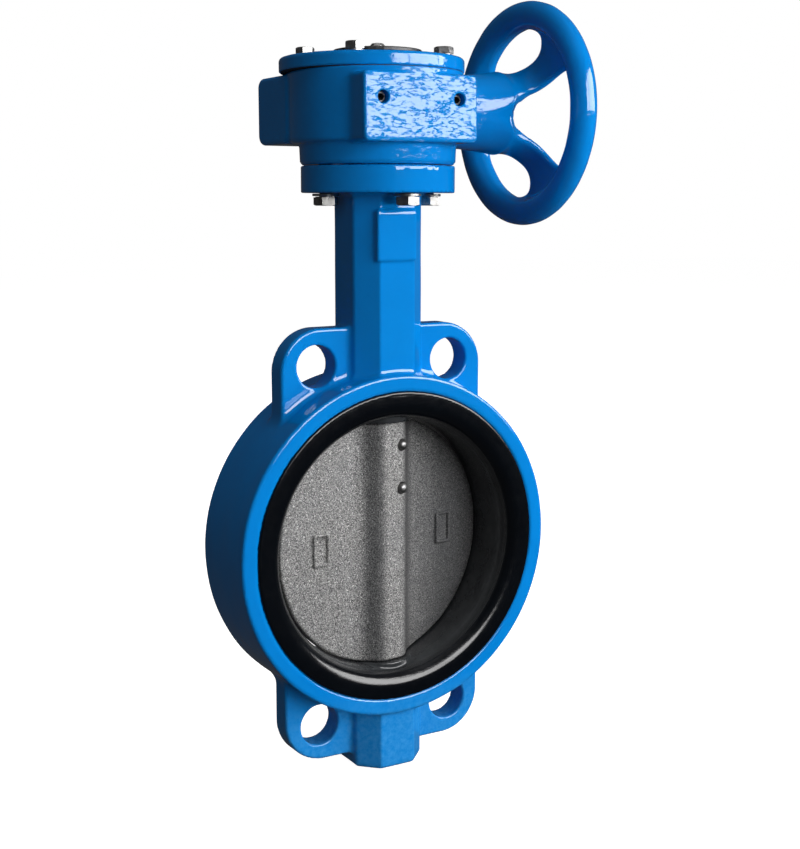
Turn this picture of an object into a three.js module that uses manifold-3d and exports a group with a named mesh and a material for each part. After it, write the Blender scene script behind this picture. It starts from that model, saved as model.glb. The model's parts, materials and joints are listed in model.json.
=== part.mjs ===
// DN150 wafer butterfly valve with a worm-gear operator and handwheel.
// Millimetres. Origin at the centre of the bore, flow along Y (the front is -Y), stem along +Z,
// handwheel on +X.
import * as THREE from "three";
import { mergeVertices } from "three/addons/utils/BufferGeometryUtils.js";
import Module from "manifold-3d";

const wasm = await Module();
wasm.setup();

// ---- driving dimensions ----
const GAP = 0.3; // clearance between pieces that rest on each other
const RUN = 0.08; // radial clearance of a turning fit
const OPEN_AT_REST = 9; // degrees the disc stands open
const BIG = 56; // facets round the ring and the disc
const ROUND = 40; // facets round the operator

const RING_R = 105.2; // body ring
const RING_HALF = 28;
const RING_BORE_R = 88.4;
const FACE_REBATE_R = 95.4;
const EAR_HALF = 69; // guide ears
const EAR_TOP = 133.2;
const EAR_CORNER_R = 26;
const EAR_HALF_THICK = 7.5;
const EAR_HOLE_R = 12.9;
const EAR_HOLE_X = 45.92;
const EAR_HOLE_Z = 110.87;
const NECK_HALF = 23.3; // octagonal neck
const NECK_FLAT = 11.7;
const BOSS_BOTTOM = -142;
const FLANGE_R = 46; // stem flange of the body
const FLANGE_LOW = 212;
const FLANGE_TOP = 228;
const FLANGE_BOLT_R = 35;

const BORE_R = 77.9; // seat liner
const LINER_R = 88.1;
const LINER_LIP_R = 95.1;
const LINER_HALF = 28.7;
const SEAT_PAD_Z = 75.1;

const DISC_R = 77.4;
const DISC_THICK = 8;
const HUB_R = 17;
const HUB_FLAT = 15.6;
const DISC_END_Z = 74.7;
const PIN_X = 7;
const PIN_Z = [60, 33];
const PIN_R = 3.2;

const STEM_R = 9.46;
const STEM_TOP = 277;
const BUSH_R = 12.2;
const NECK_BORE_R = 12.45;

const WORM_Y = 41; // gear operator
const WORM_Z = 264.5;
const MODULE = 31 / 12;
const WHEEL_TEETH = 24;
const WORM_R = 10;
const WORM_PHASE = 40; // degrees the worm is turned so that it meshes at rest
const COVER_Y = 7;
const COVER_R = 55.2;
const BODY_R = 51;
const HOUSING_LOW = FLANGE_TOP + GAP;
const HOUSING_TOP = 282;
const COVER_LOW = 282.6;
const COVER_TOP = 290.8;
const DIAL_SEAT_R = 28; // raised ring of the cover under the position indicator
const DIAL_SEAT_TOP = 292.7;
const COVER_BOLTS = [[-29, -25.2], [30.3, -25.2], [-38.3, 18.7], [38.3, 18.7]];
const TUNNEL_X = [-50, 57];
const STOP_X = 25;
const STOP_R = 3.4;
const BLOCK_FRONT = -52;

const WHEEL_X = 135.2; // handwheel
const RIM_R = 64.6;
const RIM_TUBE_R = 8.4;
const HUB_START = 62.6;
const HUB_OUTER_R = 22.3;
const OPENING_TURN = -6.6; // degrees from -Y towards +Z to the middle of the first opening
const SPOKE_HALF = 11.3;
const SHAFT_END = 121.4;

const TAU = 2 * Math.PI;
const rad = THREE.MathUtils.degToRad;

// ---- solid helpers ----
function solid(geometry) {
  const bare = new THREE.BufferGeometry();
  const flat = geometry.index ? geometry.toNonIndexed() : geometry;
  bare.setAttribute("position", flat.getAttribute("position"));
  const merged = mergeVertices(bare, 1e-4);
  return new wasm.Manifold(
    new wasm.Mesh({
      numProp: 3,
      vertProperties: new Float32Array(merged.attributes.position.array),
      triVerts: new Uint32Array(merged.index.array),
    }),
  );
}

// A closed profile of [radius, height] turned about an axis; heights run along that axis.
function turned(axis, profile, segments = 32, at = [0, 0, 0]) {
  const points = profile.map(([r, h]) => new THREE.Vector2(r, h));
  if (profile[0][0] > 1e-9) points.push(points[0].clone());
  const g = new THREE.LatheGeometry(points, segments);
  if (axis === "z") g.rotateX(Math.PI / 2);
  if (axis === "x") g.rotateZ(-Math.PI / 2);
  g.translate(...at);
  return facing(g);
}

// A profile may be listed either way round: the solid is built facing out.
function facing(g) {
  const p = g.getAttribute("position");
  const idx = g.index.array;
  const a = new THREE.Vector3();
  const b = new THREE.Vector3();
  const c = new THREE.Vector3();
  let volume = 0;
  for (let i = 0; i < idx.length; i += 3) {
    a.fromBufferAttribute(p, idx[i]);
    b.fromBufferAttribute(p, idx[i + 1]);
    c.fromBufferAttribute(p, idx[i + 2]);
    volume += a.dot(b.cross(c));
  }
  if (volume < 0) {
    for (let i = 0; i < idx.length; i += 3) {
      [idx[i + 1], idx[i + 2]] = [idx[i + 2], idx[i + 1]];
    }
  }
  return solid(g);
}

const rod = (axis, r, low, high, at = [0, 0, 0], segments = 28) =>
  turned(axis, [[0, low], [r, low], [r, high], [0, high]], segments, at);

const tube = (axis, inner, outer, low, high, at = [0, 0, 0], segments = 28) =>
  turned(axis, [[inner, low], [outer, low], [outer, high], [inner, high]], segments, at);

function box(x0, x1, y0, y1, z0, z1) {
  const g = new THREE.BoxGeometry(x1 - x0, y1 - y0, z1 - z0);
  g.translate((x0 + x1) / 2, (y0 + y1) / 2, (z0 + z1) / 2);
  return solid(g);
}

// A shape drawn in plan (X, Y) and raised between two heights.
function raised(shape, low, high, bevel = 0, curveSegments = 12) {
  const g = new THREE.ExtrudeGeometry(shape, {
    depth: high - low - 2 * bevel,
    bevelEnabled: bevel > 0,
    bevelThickness: bevel,
    bevelSize: bevel,
    bevelOffset: -bevel,
    bevelSegments: 2,
    curveSegments,
  });
  g.translate(0, 0, low + bevel);
  return g;
}

// Plan shape drawn in (X, Z), raised along Y.
function raisedY(shape, low, high, bevel = 0, curveSegments = 12) {
  const g = raised(shape, -high, -low, bevel, curveSegments);
  g.rotateX(Math.PI / 2);
  return solid(g);
}

// Plan shape drawn in (Y, Z), raised along X.
function raisedX(shape, low, high, bevel = 0, curveSegments = 12) {
  const g = raised(shape, low, high, bevel, curveSegments);
  g.rotateZ(Math.PI / 2);
  g.rotateY(Math.PI / 2);
  return solid(g);
}

function roundedRect(x0, x1, y0, y1, r) {
  const s = new THREE.Shape();
  s.moveTo(x0 + r, y0);
  s.lineTo(x1 - r, y0);
  s.absarc(x1 - r, y0 + r, r, -Math.PI / 2, 0);
  s.lineTo(x1, y1 - r);
  s.absarc(x1 - r, y1 - r, r, 0, Math.PI / 2);
  s.lineTo(x0 + r, y1);
  s.absarc(x0 + r, y1 - r, r, Math.PI / 2, Math.PI);
  s.lineTo(x0, y0 + r);
  s.absarc(x0 + r, y0 + r, r, Math.PI, 1.5 * Math.PI);
  return s;
}

function polygon(points) {
  return new THREE.Shape(points.map(([x, y]) => new THREE.Vector2(x, y)));
}

function hexagon(acrossFlats, turn = 0) {
  const r = acrossFlats / Math.sqrt(3);
  const corner = (i) => [r * Math.cos(rad(60 * i + turn)), r * Math.sin(rad(60 * i + turn))];
  return polygon([0, 1, 2, 3, 4, 5].map(corner));
}

const octagon = (half, flat) =>
  polygon([
    [half, -flat], [half, flat], [flat, half], [-flat, half],
    [-half, flat], [-half, -flat], [-flat, -half], [flat, -half],
  ]);

const add = (...solids) => solids.reduce((a, b) => a.add(b));
const cut = (from, ...solids) => solids.reduce((a, b) => a.subtract(b), from);
const turnZ = (s, degrees) => s.rotate([0, 0, degrees]);

const group = new THREE.Group();
group.name = "butterfly_valve";

const MATERIALS = {
  paint: { color: 0x0a78cc, metalness: 0.1, roughness: 0.3 },
  rubber: { color: 0x121315, metalness: 0, roughness: 0.55 },
  iron: { color: 0x7b7b78, metalness: 0.7, roughness: 0.6 },
  steel: { color: 0xb9bbbd, metalness: 1, roughness: 0.3 },
  bronze: { color: 0xa8803c, metalness: 1, roughness: 0.4 },
  black: { color: 0x18191b, metalness: 0.1, roughness: 0.5 },
};

function node(name, body, look) {
  const made = body.getMesh();
  const g = new THREE.BufferGeometry();
  g.setAttribute("position", new THREE.BufferAttribute(new Float32Array(made.vertProperties), 3));
  g.setIndex(new THREE.BufferAttribute(new Uint32Array(made.triVerts), 1));
  g.computeVertexNormals();
  const mesh = new THREE.Mesh(g, new THREE.MeshStandardMaterial(MATERIALS[look]));
  mesh.name = name;
  group.add(mesh);
}

// ---- valve body: ring, guide ears, neck, bottom boss, stem flange ----
function valveBody() {
  const ring = turned("y", [
    [60, -RING_HALF], [RING_R - 1.5, -RING_HALF], [RING_R, -RING_HALF + 1.5],
    [RING_R, RING_HALF - 1.5], [RING_R - 1.5, RING_HALF], [60, RING_HALF],
  ], BIG);
  const earPlan = roundedRect(-EAR_HALF, EAR_HALF, -EAR_TOP, EAR_TOP, EAR_CORNER_R);
  const ears = raisedY(earPlan, -EAR_HALF_THICK, EAR_HALF_THICK, 0, 8);
  const neck = solid(raised(octagon(NECK_HALF, NECK_FLAT), 80, FLANGE_LOW + 1));
  const bossG = raised(octagon(NECK_HALF - 2.5, NECK_FLAT - 1.5), BOSS_BOTTOM, BOSS_BOTTOM + 4);
  const boss = add(
    solid(raised(octagon(NECK_HALF, NECK_FLAT), BOSS_BOTTOM + 3, -80)),
    solid(bossG),
  );
  const marks = add(
    box(-NECK_FLAT + 1, NECK_FLAT - 1, -NECK_HALF - 1.5, -NECK_HALF + 1, 170, 200),
    box(-NECK_FLAT + 1, NECK_FLAT - 1, -NECK_HALF - 1.2, -NECK_HALF + 1, -134, -108),
  );
  const flange = turned("z", [
    [0, FLANGE_LOW], [FLANGE_R, FLANGE_LOW],
    [FLANGE_R, FLANGE_TOP - 1], [FLANGE_R - 1, FLANGE_TOP], [0, FLANGE_TOP],
  ], ROUND);
  let body = add(ring, ears, neck, boss, marks, flange);
  body = cut(
    body,
    turned("y", [
      [0, -40], [FACE_REBATE_R, -40], [FACE_REBATE_R, -24], [RING_BORE_R, -24],
      [RING_BORE_R, 24], [FACE_REBATE_R, 24], [FACE_REBATE_R, 40], [0, 40],
    ], BIG),
    rod("z", NECK_BORE_R, 70, 240),
    rod("z", NECK_BORE_R, -131, -70),
    rod("z", 14.3, -150, -129),
  );
  for (const x of [-EAR_HOLE_X, EAR_HOLE_X]) {
    for (const z of [-EAR_HOLE_Z, EAR_HOLE_Z]) {
      body = cut(body, rod("y", EAR_HOLE_R, -20, 20, [x, 0, z], 24));
    }
  }
  for (let i = 0; i < 4; i += 1) {
    const a = rad(90 * i);
    const at = [FLANGE_BOLT_R * Math.cos(a), FLANGE_BOLT_R * Math.sin(a), 0];
    body = cut(body, rod("z", 4.5, 200, 240, at, 16));
  }
  return body;
}

// ---- seat liner: soft bore with rolled lips and a flat pad round each stem hole ----
function seatLiner() {
  const half = [
    [BORE_R, 13], [BORE_R + 3.6, 22], [BORE_R + 3.6, 25], [BORE_R + 1.4, 27],
    [BORE_R + 3.5, LINER_HALF], [LINER_LIP_R, LINER_HALF], [LINER_LIP_R, 24.3], [LINER_R, 24.3],
  ];
  const mirrored = [...half].reverse().map(([r, y]) => [r, -y]);
  let liner = turned("y", [...half, ...mirrored], BIG);
  liner = add(
    liner,
    rod("z", 19.5, SEAT_PAD_Z, 84),
    rod("z", 19.5, -84, -SEAT_PAD_Z),
  );
  return cut(liner, rod("z", STEM_R + 0.2, -95, 95, [0, 0, 0], 32));
}

// ---- disc: plate with a spherical rim, a hub along the stem, two blind stem bores, two pin holes ----
function disc() {
  const h = DISC_THICK / 2;
  const plate = turned("y", [
    [0, -h - 1.2], [DISC_R - 8, -h], [DISC_R - 1.3, -h + 1.6], [DISC_R, 0],
    [DISC_R - 1.3, h - 1.6], [DISC_R - 8, h], [0, h + 1.2],
  ], BIG);
  const hubRound = rod("z", HUB_R, -DISC_END_Z - 3, DISC_END_Z + 3, [0, 0, 0], 36);
  const hub = hubRound.intersect(box(-30, 30, -HUB_FLAT, HUB_FLAT, -90, 90));
  const webPlan = polygon([[-24, 0], [-14, 9.5], [14, 9.5], [24, 0], [14, -9.5], [-14, -9.5]]);
  const web = solid(raised(webPlan, -72, 72));
  const ends = box(-90, 90, -30, 30, -DISC_END_Z, DISC_END_Z);
  const round = rod("y", DISC_R - 1.3, -30, 30, [0, 0, 0], BIG);
  let body = add(add(hub, web.intersect(round)), plate).intersect(ends);
  body = cut(
    body,
    rod("z", STEM_R + 0.12, 14, 90, [0, 0, 0], 32),
    rod("z", STEM_R + 0.12, -90, -42, [0, 0, 0], 32),
  );
  for (const z of PIN_Z) {
    body = cut(body, rod("y", PIN_R + 0.15, -30, 30, [PIN_X, 0, z], 16));
  }
  return body;
}

function taperPin(z) {
  const r = PIN_R;
  return turned("y", [
    [0, -HUB_FLAT - 1.2], [r * 0.6, -HUB_FLAT - 0.8], [r, -HUB_FLAT + 0.6], [r, 14], [0, 14],
  ], 16, [PIN_X, 0, z]);
}

// ---- stems ----
function upperStem() {
  const seal = STEM_R - 1.3;
  const clip = STEM_R - 1;
  let stem = turned("z", [
    [0, 16], [STEM_R, 16], [STEM_R, 106], [seal, 106], [seal, 108.4], [STEM_R, 108.4],
    [STEM_R, 218], [seal, 218], [seal, 220.4], [STEM_R, 220.4],
    [STEM_R, 225.6], [clip, 225.6], [clip, 226.8], [STEM_R, 226.8],
    [STEM_R, STEM_TOP - 1.5], [STEM_R - 1.5, STEM_TOP], [0, STEM_TOP],
  ], 32);
  for (const z of PIN_Z) {
    stem = cut(stem, rod("y", PIN_R + 0.15, -30, 30, [PIN_X, 0, z], 16));
  }
  return cut(stem, box(5.9, 12, -3.15, 3.15, 250, 276), rod("z", 2.6, 255, 290, [0, 0, 0], 12));
}

const lowerStem = () =>
  turned("z", [
    [0, -44], [STEM_R - 1.2, -44], [STEM_R, -45.2], [STEM_R, -126],
    [STEM_R - 1.2, -127.2], [0, -127.2],
  ], 32);

const bush = (low, high) => tube("z", STEM_R + RUN, BUSH_R, low, high, [0, 0, 0], 32);

function ringSeal(z) {
  const r = STEM_R - 0.05;
  return turned("z", [
    [r - 1, z - 1], [BUSH_R, z - 0.6], [BUSH_R, z + 0.6], [r - 1, z + 1],
  ], 28);
}

function circlip() {
  const ring = tube("z", STEM_R - 0.8, STEM_R + 2, 225.8, 226.6, [0, 0, 0], 28);
  return cut(ring, box(-3, 3, -20, 0, 225, 228));
}

function bottomPlug() {
  const plug = turned("z", [
    [0, -140.6], [13, -140.6], [14, -139.6], [14, -130.6], [0, -130.6],
  ], 28);
  return cut(plug, solid(raised(hexagon(10), -150, -135)));
}

// ---- bolts ----
// A hex bolt along Z: the head lies on the far side of the seat from the shank.
function hexBolt(x, y, seat, shankEnd, shankR, across, headHigh, turn) {
  const up = shankEnd < seat ? 1 : -1;
  const lo = Math.min(seat, seat + up * headHigh);
  const hi = Math.max(seat, seat + up * headHigh);
  const crown = across / Math.sqrt(3) + 0.2;
  const profile = up > 0
    ? [[0, lo], [crown, lo], [crown, hi - 1], [across / 2 - 0.3, hi], [0, hi]]
    : [[0, lo], [across / 2 - 0.3, lo], [crown, lo + 1], [crown, hi], [0, hi]];
  const g = raised(hexagon(across, turn), lo, hi);
  const head = solid(g).intersect(turned("z", profile, 18));
  const shank = rod("z", shankR, Math.min(seat, shankEnd), Math.max(seat, shankEnd), [0, 0, 0], 12);
  return head.add(shank).translate([x, y, 0]);
}

function flangeBolts() {
  for (let i = 0; i < 4; i += 1) {
    const a = rad(90 * i);
    const x = FLANGE_BOLT_R * Math.cos(a);
    const y = FLANGE_BOLT_R * Math.sin(a);
    const washerLow = FLANGE_LOW - GAP - 1.6;
    node(`flange_washer_${i + 1}`, tube("z", 4.5, 8, washerLow, FLANGE_LOW - GAP, [x, y, 0], 16), "steel");
    node(`flange_bolt_${i + 1}`, hexBolt(x, y, washerLow - 0.2, 242, 4, 13, 5.3, 12 + 17 * i), "steel");
  }
}

// ---- gear operator ----
function housing() {
  const base = turned("z", [
    [0, HOUSING_LOW], [45, HOUSING_LOW], [46, HOUSING_LOW + 1.2], [46.8, 241], [0, 241],
  ], ROUND);
  const drum = turned("z", [
    [0, 240], [BODY_R - 2, 240], [BODY_R, 242], [BODY_R, HOUSING_TOP], [0, HOUSING_TOP],
  ], ROUND);
  const rear = rod("z", BODY_R - 1, 242, HOUSING_TOP, [0, 9, 0], ROUND);
  const block = raisedY(roundedRect(-37, 37, 240.4, 278.5, 5), BLOCK_FRONT, -20, 1.5, 3);
  const tunnelPlan = roundedRect(20, 61.5, 241, 281, 6);
  const tunnel = raisedX(tunnelPlan, TUNNEL_X[0], TUNNEL_X[1], 1.2, 3);
  const lift = solid(raised(polygon([
    [-35.4, -11], [35.4, -11], [35.4, 0], [27, 24], [27, 55], [-27, 55], [-27, 24], [-35.4, 0],
  ]), 249, 300));
  const gearRoom = add(lift, rod("z", 21.5, 249, 300), rod("z", 35.4, 249, 300, [0, 0, 0], 36)
    .intersect(box(-60, 60, -11, 60, 200, 320)));
  let body = cut(
    add(base, drum, rear, block, tunnel),
    gearRoom,
    rod("z", 14.1, 220, 260, [0, 0, 0], 32),
    rod("x", 11.2, -44.4, 80, [0, WORM_Y, WORM_Z], 28),
    rod("x", 13.6, 20, 53.2, [0, WORM_Y, WORM_Z], 28),
    rod("x", 16.2, 53, 80, [0, WORM_Y, WORM_Z], 28),
  );
  for (const x of [-STOP_X, STOP_X]) {
    body = cut(body, rod("y", STOP_R + 0.2, -60, 0, [x, 0, WORM_Z], 20));
  }
  for (let i = 0; i < 4; i += 1) {
    const a = rad(90 * i);
    const at = [FLANGE_BOLT_R * Math.cos(a), FLANGE_BOLT_R * Math.sin(a), 0];
    body = cut(body, rod("z", 4.2, 220, 243, at, 16));
    body = cut(body, rod("z", 3.2, 277, 300, [...COVER_BOLTS[i], 0], 12));
  }
  return body;
}

function coverPlan(r, inner) {
  const s = new THREE.Shape();
  s.absarc(0, COVER_Y, r, 0, TAU);
  const hole = new THREE.Path();
  hole.absarc(0, inner[0], inner[1], 0, TAU, true);
  s.holes.push(hole);
  return s;
}

function gasket() {
  let g = solid(raised(coverPlan(COVER_R - 0.8, [11, 38]), HOUSING_TOP + 0.12, COVER_LOW - 0.12, 0, 24));
  for (let i = 0; i < 4; i += 1) {
    g = cut(g, rod("z", 3.3, 270, 300, [...COVER_BOLTS[i], 0], 12));
  }
  return g;
}

function cover() {
  let c = turned("z", [
    [0, COVER_LOW], [COVER_R, COVER_LOW], [COVER_R, COVER_TOP - 2], [COVER_R - 2, COVER_TOP],
    [0, COVER_TOP],
  ], ROUND, [0, COVER_Y, 0]);
  c = add(c, tube("z", 11, DIAL_SEAT_R, COVER_TOP - 1, DIAL_SEAT_TOP, [0, 0, 0], 36));
  c = cut(c, rod("z", 12.15, 270, 300, [0, 0, 0], 32));
  for (let i = 0; i < 4; i += 1) {
    c = cut(c, rod("z", 3.3, 270, 300, [...COVER_BOLTS[i], 0], 12));
  }
  return c;
}

function indicator() {
  const low = DIAL_SEAT_TOP + GAP;
  return turned("z", [
    [2.8, COVER_TOP + 0.1], [11.6, COVER_TOP + 0.1], [11.6, low], [26.6, low], [26.6, low + 1.4],
    [26, low + 2], [2.8, low + 2],
  ], 36);
}

function indicatorScrew() {
  const seat = DIAL_SEAT_TOP + GAP + 2.2;
  const screw = turned("z", [
    [0, 268], [2.4, 268], [2.4, seat], [5, seat], [4.8, seat + 2.2], [3.4, seat + 3.8], [0, seat + 4.4],
  ], 16);
  return cut(screw, box(-0.6, 0.6, -6, 6, seat + 3, seat + 6));
}

// Sector gear in its closed position: the toothed arc is centred 45 degrees clockwise of +Y.
function sectorGear() {
  const pitchR = (MODULE * WHEEL_TEETH) / 2;
  const rootR = pitchR - 1.25 * MODULE;
  const tipR = pitchR + 0.85 * MODULE;
  const step = TAU / WHEEL_TEETH;
  const outline = [];
  for (let i = 0; i < WHEEL_TEETH; i += 1) {
    const a = i * step;
    outline.push([rootR, a - 0.34 * step], [pitchR, a - 0.215 * step], [tipR, a - 0.09 * step]);
    outline.push([tipR, a + 0.09 * step], [pitchR, a + 0.215 * step], [rootR, a + 0.34 * step]);
  }
  const wheel = polygon(outline.map(([r, a]) => [r * Math.cos(a), r * Math.sin(a)]));
  const slices = 2;
  const half = 6;
  const slope = Math.tan(Math.asin(MODULE / (2 * WORM_R))) / pitchR;
  const g = new THREE.ExtrudeGeometry(wheel, { depth: 2 * half, steps: slices, bevelEnabled: false });
  const p = g.getAttribute("position");
  for (let i = 0; i < p.count; i += 1) {
    const z = p.getZ(i) - half;
    const t = -z * slope;
    const x = p.getX(i);
    const y = p.getY(i);
    p.setXYZ(i, x * Math.cos(t) - y * Math.sin(t), x * Math.sin(t) + y * Math.cos(t), z + WORM_Z);
  }
  let teeth = solid(g).intersect(box(-8, 60, -8, 60, 200, 300));
  teeth = cut(teeth, rod("z", 4, 200, 300));
  const hub = turned("z", [
    [0, 231.5], [14, 231.5], [14, 249.3], [19, 249.3], [19, 276], [12, 276.6],
    [12, COVER_TOP - 0.2], [0, COVER_TOP - 0.2],
  ], 32);
  return cut(
    add(teeth, hub),
    rod("z", STEM_R + 0.12, 220, STEM_TOP + 0.6, [0, 0, 0], 32),
    rod("z", 2.6, 270, 300, [0, 0, 0], 12),
    box(0, 12.6, -3.15, 3.15, 249.8, 276.2),
  );
}

// Single-start right-hand worm, cut as a helical ridge swept round its core.
function worm() {
  const pitch = Math.PI * MODULE;
  const core = WORM_R - 1.2 * MODULE;
  const tip = WORM_R + 0.85 * MODULE;
  const turns = 5;
  const steps = 16;
  const half = [0.335 * pitch, 0.065 * pitch];
  const length = turns * pitch;
  const pts = [];
  const idx = [];
  const n = turns * steps;
  for (let i = 0; i <= n; i += 1) {
    const a = (TAU * i) / steps;
    const x = -length / 2 + (pitch * i) / steps;
    const section = [
      [x - half[0], core - 1], [x - half[1], tip], [x + half[1], tip], [x + half[0], core - 1],
    ];
    for (const [sx, sr] of section) pts.push(sx, sr * Math.cos(a), sr * Math.sin(a));
  }
  for (let i = 0; i < n; i += 1) {
    for (let k = 0; k < 4; k += 1) {
      const a = 4 * i + k;
      const b = 4 * i + ((k + 1) % 4);
      idx.push(a, b, a + 4, b, b + 4, a + 4);
    }
  }
  idx.push(0, 2, 1, 0, 3, 2);
  const e = 4 * n;
  idx.push(e, e + 1, e + 2, e, e + 2, e + 3);
  const g = new THREE.BufferGeometry();
  g.setAttribute("position", new THREE.BufferAttribute(new Float32Array(pts), 3));
  g.setIndex(new THREE.BufferAttribute(new Uint32Array(idx), 1));
  const ridge = facing(g);
  const body = rod("x", core, -26, 19, [0, 0, 0], 24);
  return add(ridge.intersect(rod("x", 20, -19, 19)), body);
}

function placedWorm(turn) {
  const bored = cut(worm(), rod("x", 5.1, -40, 40, [0, 0, 0], 20));
  return bored.rotate([turn, 0, 0]).translate([0, WORM_Y, WORM_Z]);
}

function inputShaft() {
  const shaft = turned("x", [
    [0, -43.4], [4.2, -43.4], [5, -42.6], [5, 22.6], [9, 22.6], [9, 27], [8, 27],
    [8, SHAFT_END - 1], [7, SHAFT_END], [0, SHAFT_END],
  ], 28, [0, WORM_Y, WORM_Z]);
  return cut(shaft, rod("z", 2.6, WORM_Z - 30, WORM_Z + 30, [104, WORM_Y, 0], 16));
}

function bearing(x0, x1, inner, outer) {
  return tube("x", inner, outer, x0, x1, [0, WORM_Y, WORM_Z], 28);
}

// ---- handwheel: heavy rim, dished plate with three openings, long hub ----
function handwheel() {
  const rim = new THREE.TorusGeometry(RIM_R, RIM_TUBE_R, 10, 40);
  rim.rotateY(Math.PI / 2);
  rim.translate(WHEEL_X, 0, 0);
  const hub = [[0, HUB_START], [HUB_OUTER_R, HUB_START], [HUB_OUTER_R, 80], [24, 90], [25, 99]];
  const near = [[26, 112], [27.5, 121.5], [30, 127.5], [34, 132.2], [40, 136], [48, 137.9], [60, 138.2]];
  const far = [
    [60, 142.9], [48, 142.7], [40, 141.4], [34, 138.7], [28, 133.2], [24, 127], [21, 117], [0, 117],
  ];
  const plate = turned("x", [...hub, ...near, ...far], 48);
  let body = add(solid(rim), plate);
  for (let i = 0; i < 3; i += 1) {
    body = cut(body, spokeOpening(OPENING_TURN + 120 * i));
  }
  body = cut(body, rod("x", 8.12, 50, 140, [0, 0, 0], 28));
  body = body.translate([0, WORM_Y, WORM_Z]);
  return cut(body, rod("z", 2.6, WORM_Z - 30, WORM_Z + 30, [104, WORM_Y, 0], 16));
}

// Two straight spoke edges and the rim's arc, with wide corners. Angles run from -Y towards +Z.
function spokeOpening(middle) {
  const outer = [[0, 60.2], [20, 60.2], [28, 59.6], [32, 58.3], [36, 55.8], [39, 52.7], [41, 49]];
  const inner = [41, 36, 30, 20, 10, 0].map((a) => [a, SPOKE_HALF / Math.sin(rad(60 - a))]);
  const half = [...outer, ...inner];
  const mirrored = half.slice(1, -1).reverse().map(([a, r]) => [-a, r]);
  const place = ([a, r]) => [r * Math.cos(rad(a)), r * Math.sin(rad(a))];
  const g = raised(polygon([...half, ...mirrored].map(place)), 60, 150);
  g.rotateZ(rad(middle));
  // plan x runs to -Y and plan y to +Z
  g.applyMatrix4(new THREE.Matrix4().set(0, 0, 1, 0, -1, 0, 0, 0, 0, 1, 0, 0, 0, 0, 0, 1));
  g.setIndex([...Array(g.getAttribute("position").count).keys()]);
  return facing(g).intersect(tube("x", HUB_OUTER_R, 70, 98, 150, [0, 0, 0], 36));
}

function stopScrew(x) {
  const screw = turned("y", [
    [0, -47.6], [STOP_R - 0.8, -47.6], [STOP_R, -46.8], [STOP_R, -9.1], [STOP_R - 0.8, -8.3], [0, -8.3],
  ], 16, [x, 0, WORM_Z]);
  const socket = raisedY(hexagon(4), -60, -43);
  return cut(screw, socket.translate([x, 0, WORM_Z]));
}

// ---- assembly ----
node("valve_body", valveBody(), "paint");
node("seat_liner", seatLiner(), "rubber");
node("disc", turnZ(disc(), OPEN_AT_REST), "iron");
PIN_Z.forEach((z, i) => {
  node(`taper_pin_${i ? "middle" : "upper"}`, turnZ(taperPin(z), OPEN_AT_REST), "steel");
});
node("upper_stem", turnZ(upperStem(), OPEN_AT_REST), "steel");
node("lower_stem", lowerStem(), "steel");
node("stem_bush_lower", bush(89, 104), "bronze");
node("stem_bush_middle", bush(110, 150), "bronze");
node("stem_bush_upper", bush(178, 215), "bronze");
node("stem_bush_bottom", bush(-126, -89), "bronze");
node("stem_seal_lower", turnZ(ringSeal(107.2), OPEN_AT_REST), "rubber");
node("stem_seal_upper", turnZ(ringSeal(219.2), OPEN_AT_REST), "rubber");
node("stem_circlip", turnZ(circlip(), OPEN_AT_REST), "steel");
node("bottom_plug", bottomPlug(), "steel");
flangeBolts();
node("gear_housing", housing(), "paint");
node("cover_gasket", gasket(), "rubber");
node("housing_cover", cover(), "paint");
for (let i = 0; i < 4; i += 1) {
  const [x, y] = COVER_BOLTS[i];
  node(`cover_bolt_${i + 1}`, hexBolt(x, y, COVER_TOP + 0.2, 278, 3, 10, 5.6, 8 + 21 * i), "steel");
}
node("position_indicator", turnZ(indicator(), OPEN_AT_REST), "black");
node("indicator_screw", turnZ(indicatorScrew(), OPEN_AT_REST), "steel");
node("sector_gear", turnZ(sectorGear(), OPEN_AT_REST), "iron");
node("stem_key", turnZ(box(6.1, 12.4, -3, 3, 250.1, 275.9), OPEN_AT_REST), "steel");
node("worm", placedWorm(WORM_PHASE), "steel");
node("input_shaft", inputShaft(), "steel");
node("worm_bearing_left", bearing(-43.8, -34, 5.1, 11), "bronze");
node("worm_bearing_right", bearing(29, 45, 8.12, 13.4), "bronze");
node("shaft_seal", bearing(46, 52.6, 8.12, 13.4), "rubber");
node("shaft_end_cap", bearing(53.4, 58.6, 8.4, 16), "steel");
node("handwheel", handwheel(), "paint");
const pin = rod("z", 2.45, WORM_Z - 21.6, WORM_Z + 21.6, [104, WORM_Y, 0], 16);
node("handwheel_pin", pin, "steel");
node("stop_screw_left", stopScrew(-STOP_X), "steel");
node("stop_screw_right", stopScrew(STOP_X), "steel");

export default group;
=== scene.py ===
import json
import math

import bmesh
import bpy
import numpy as np
from mathutils import Matrix, Vector


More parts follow.
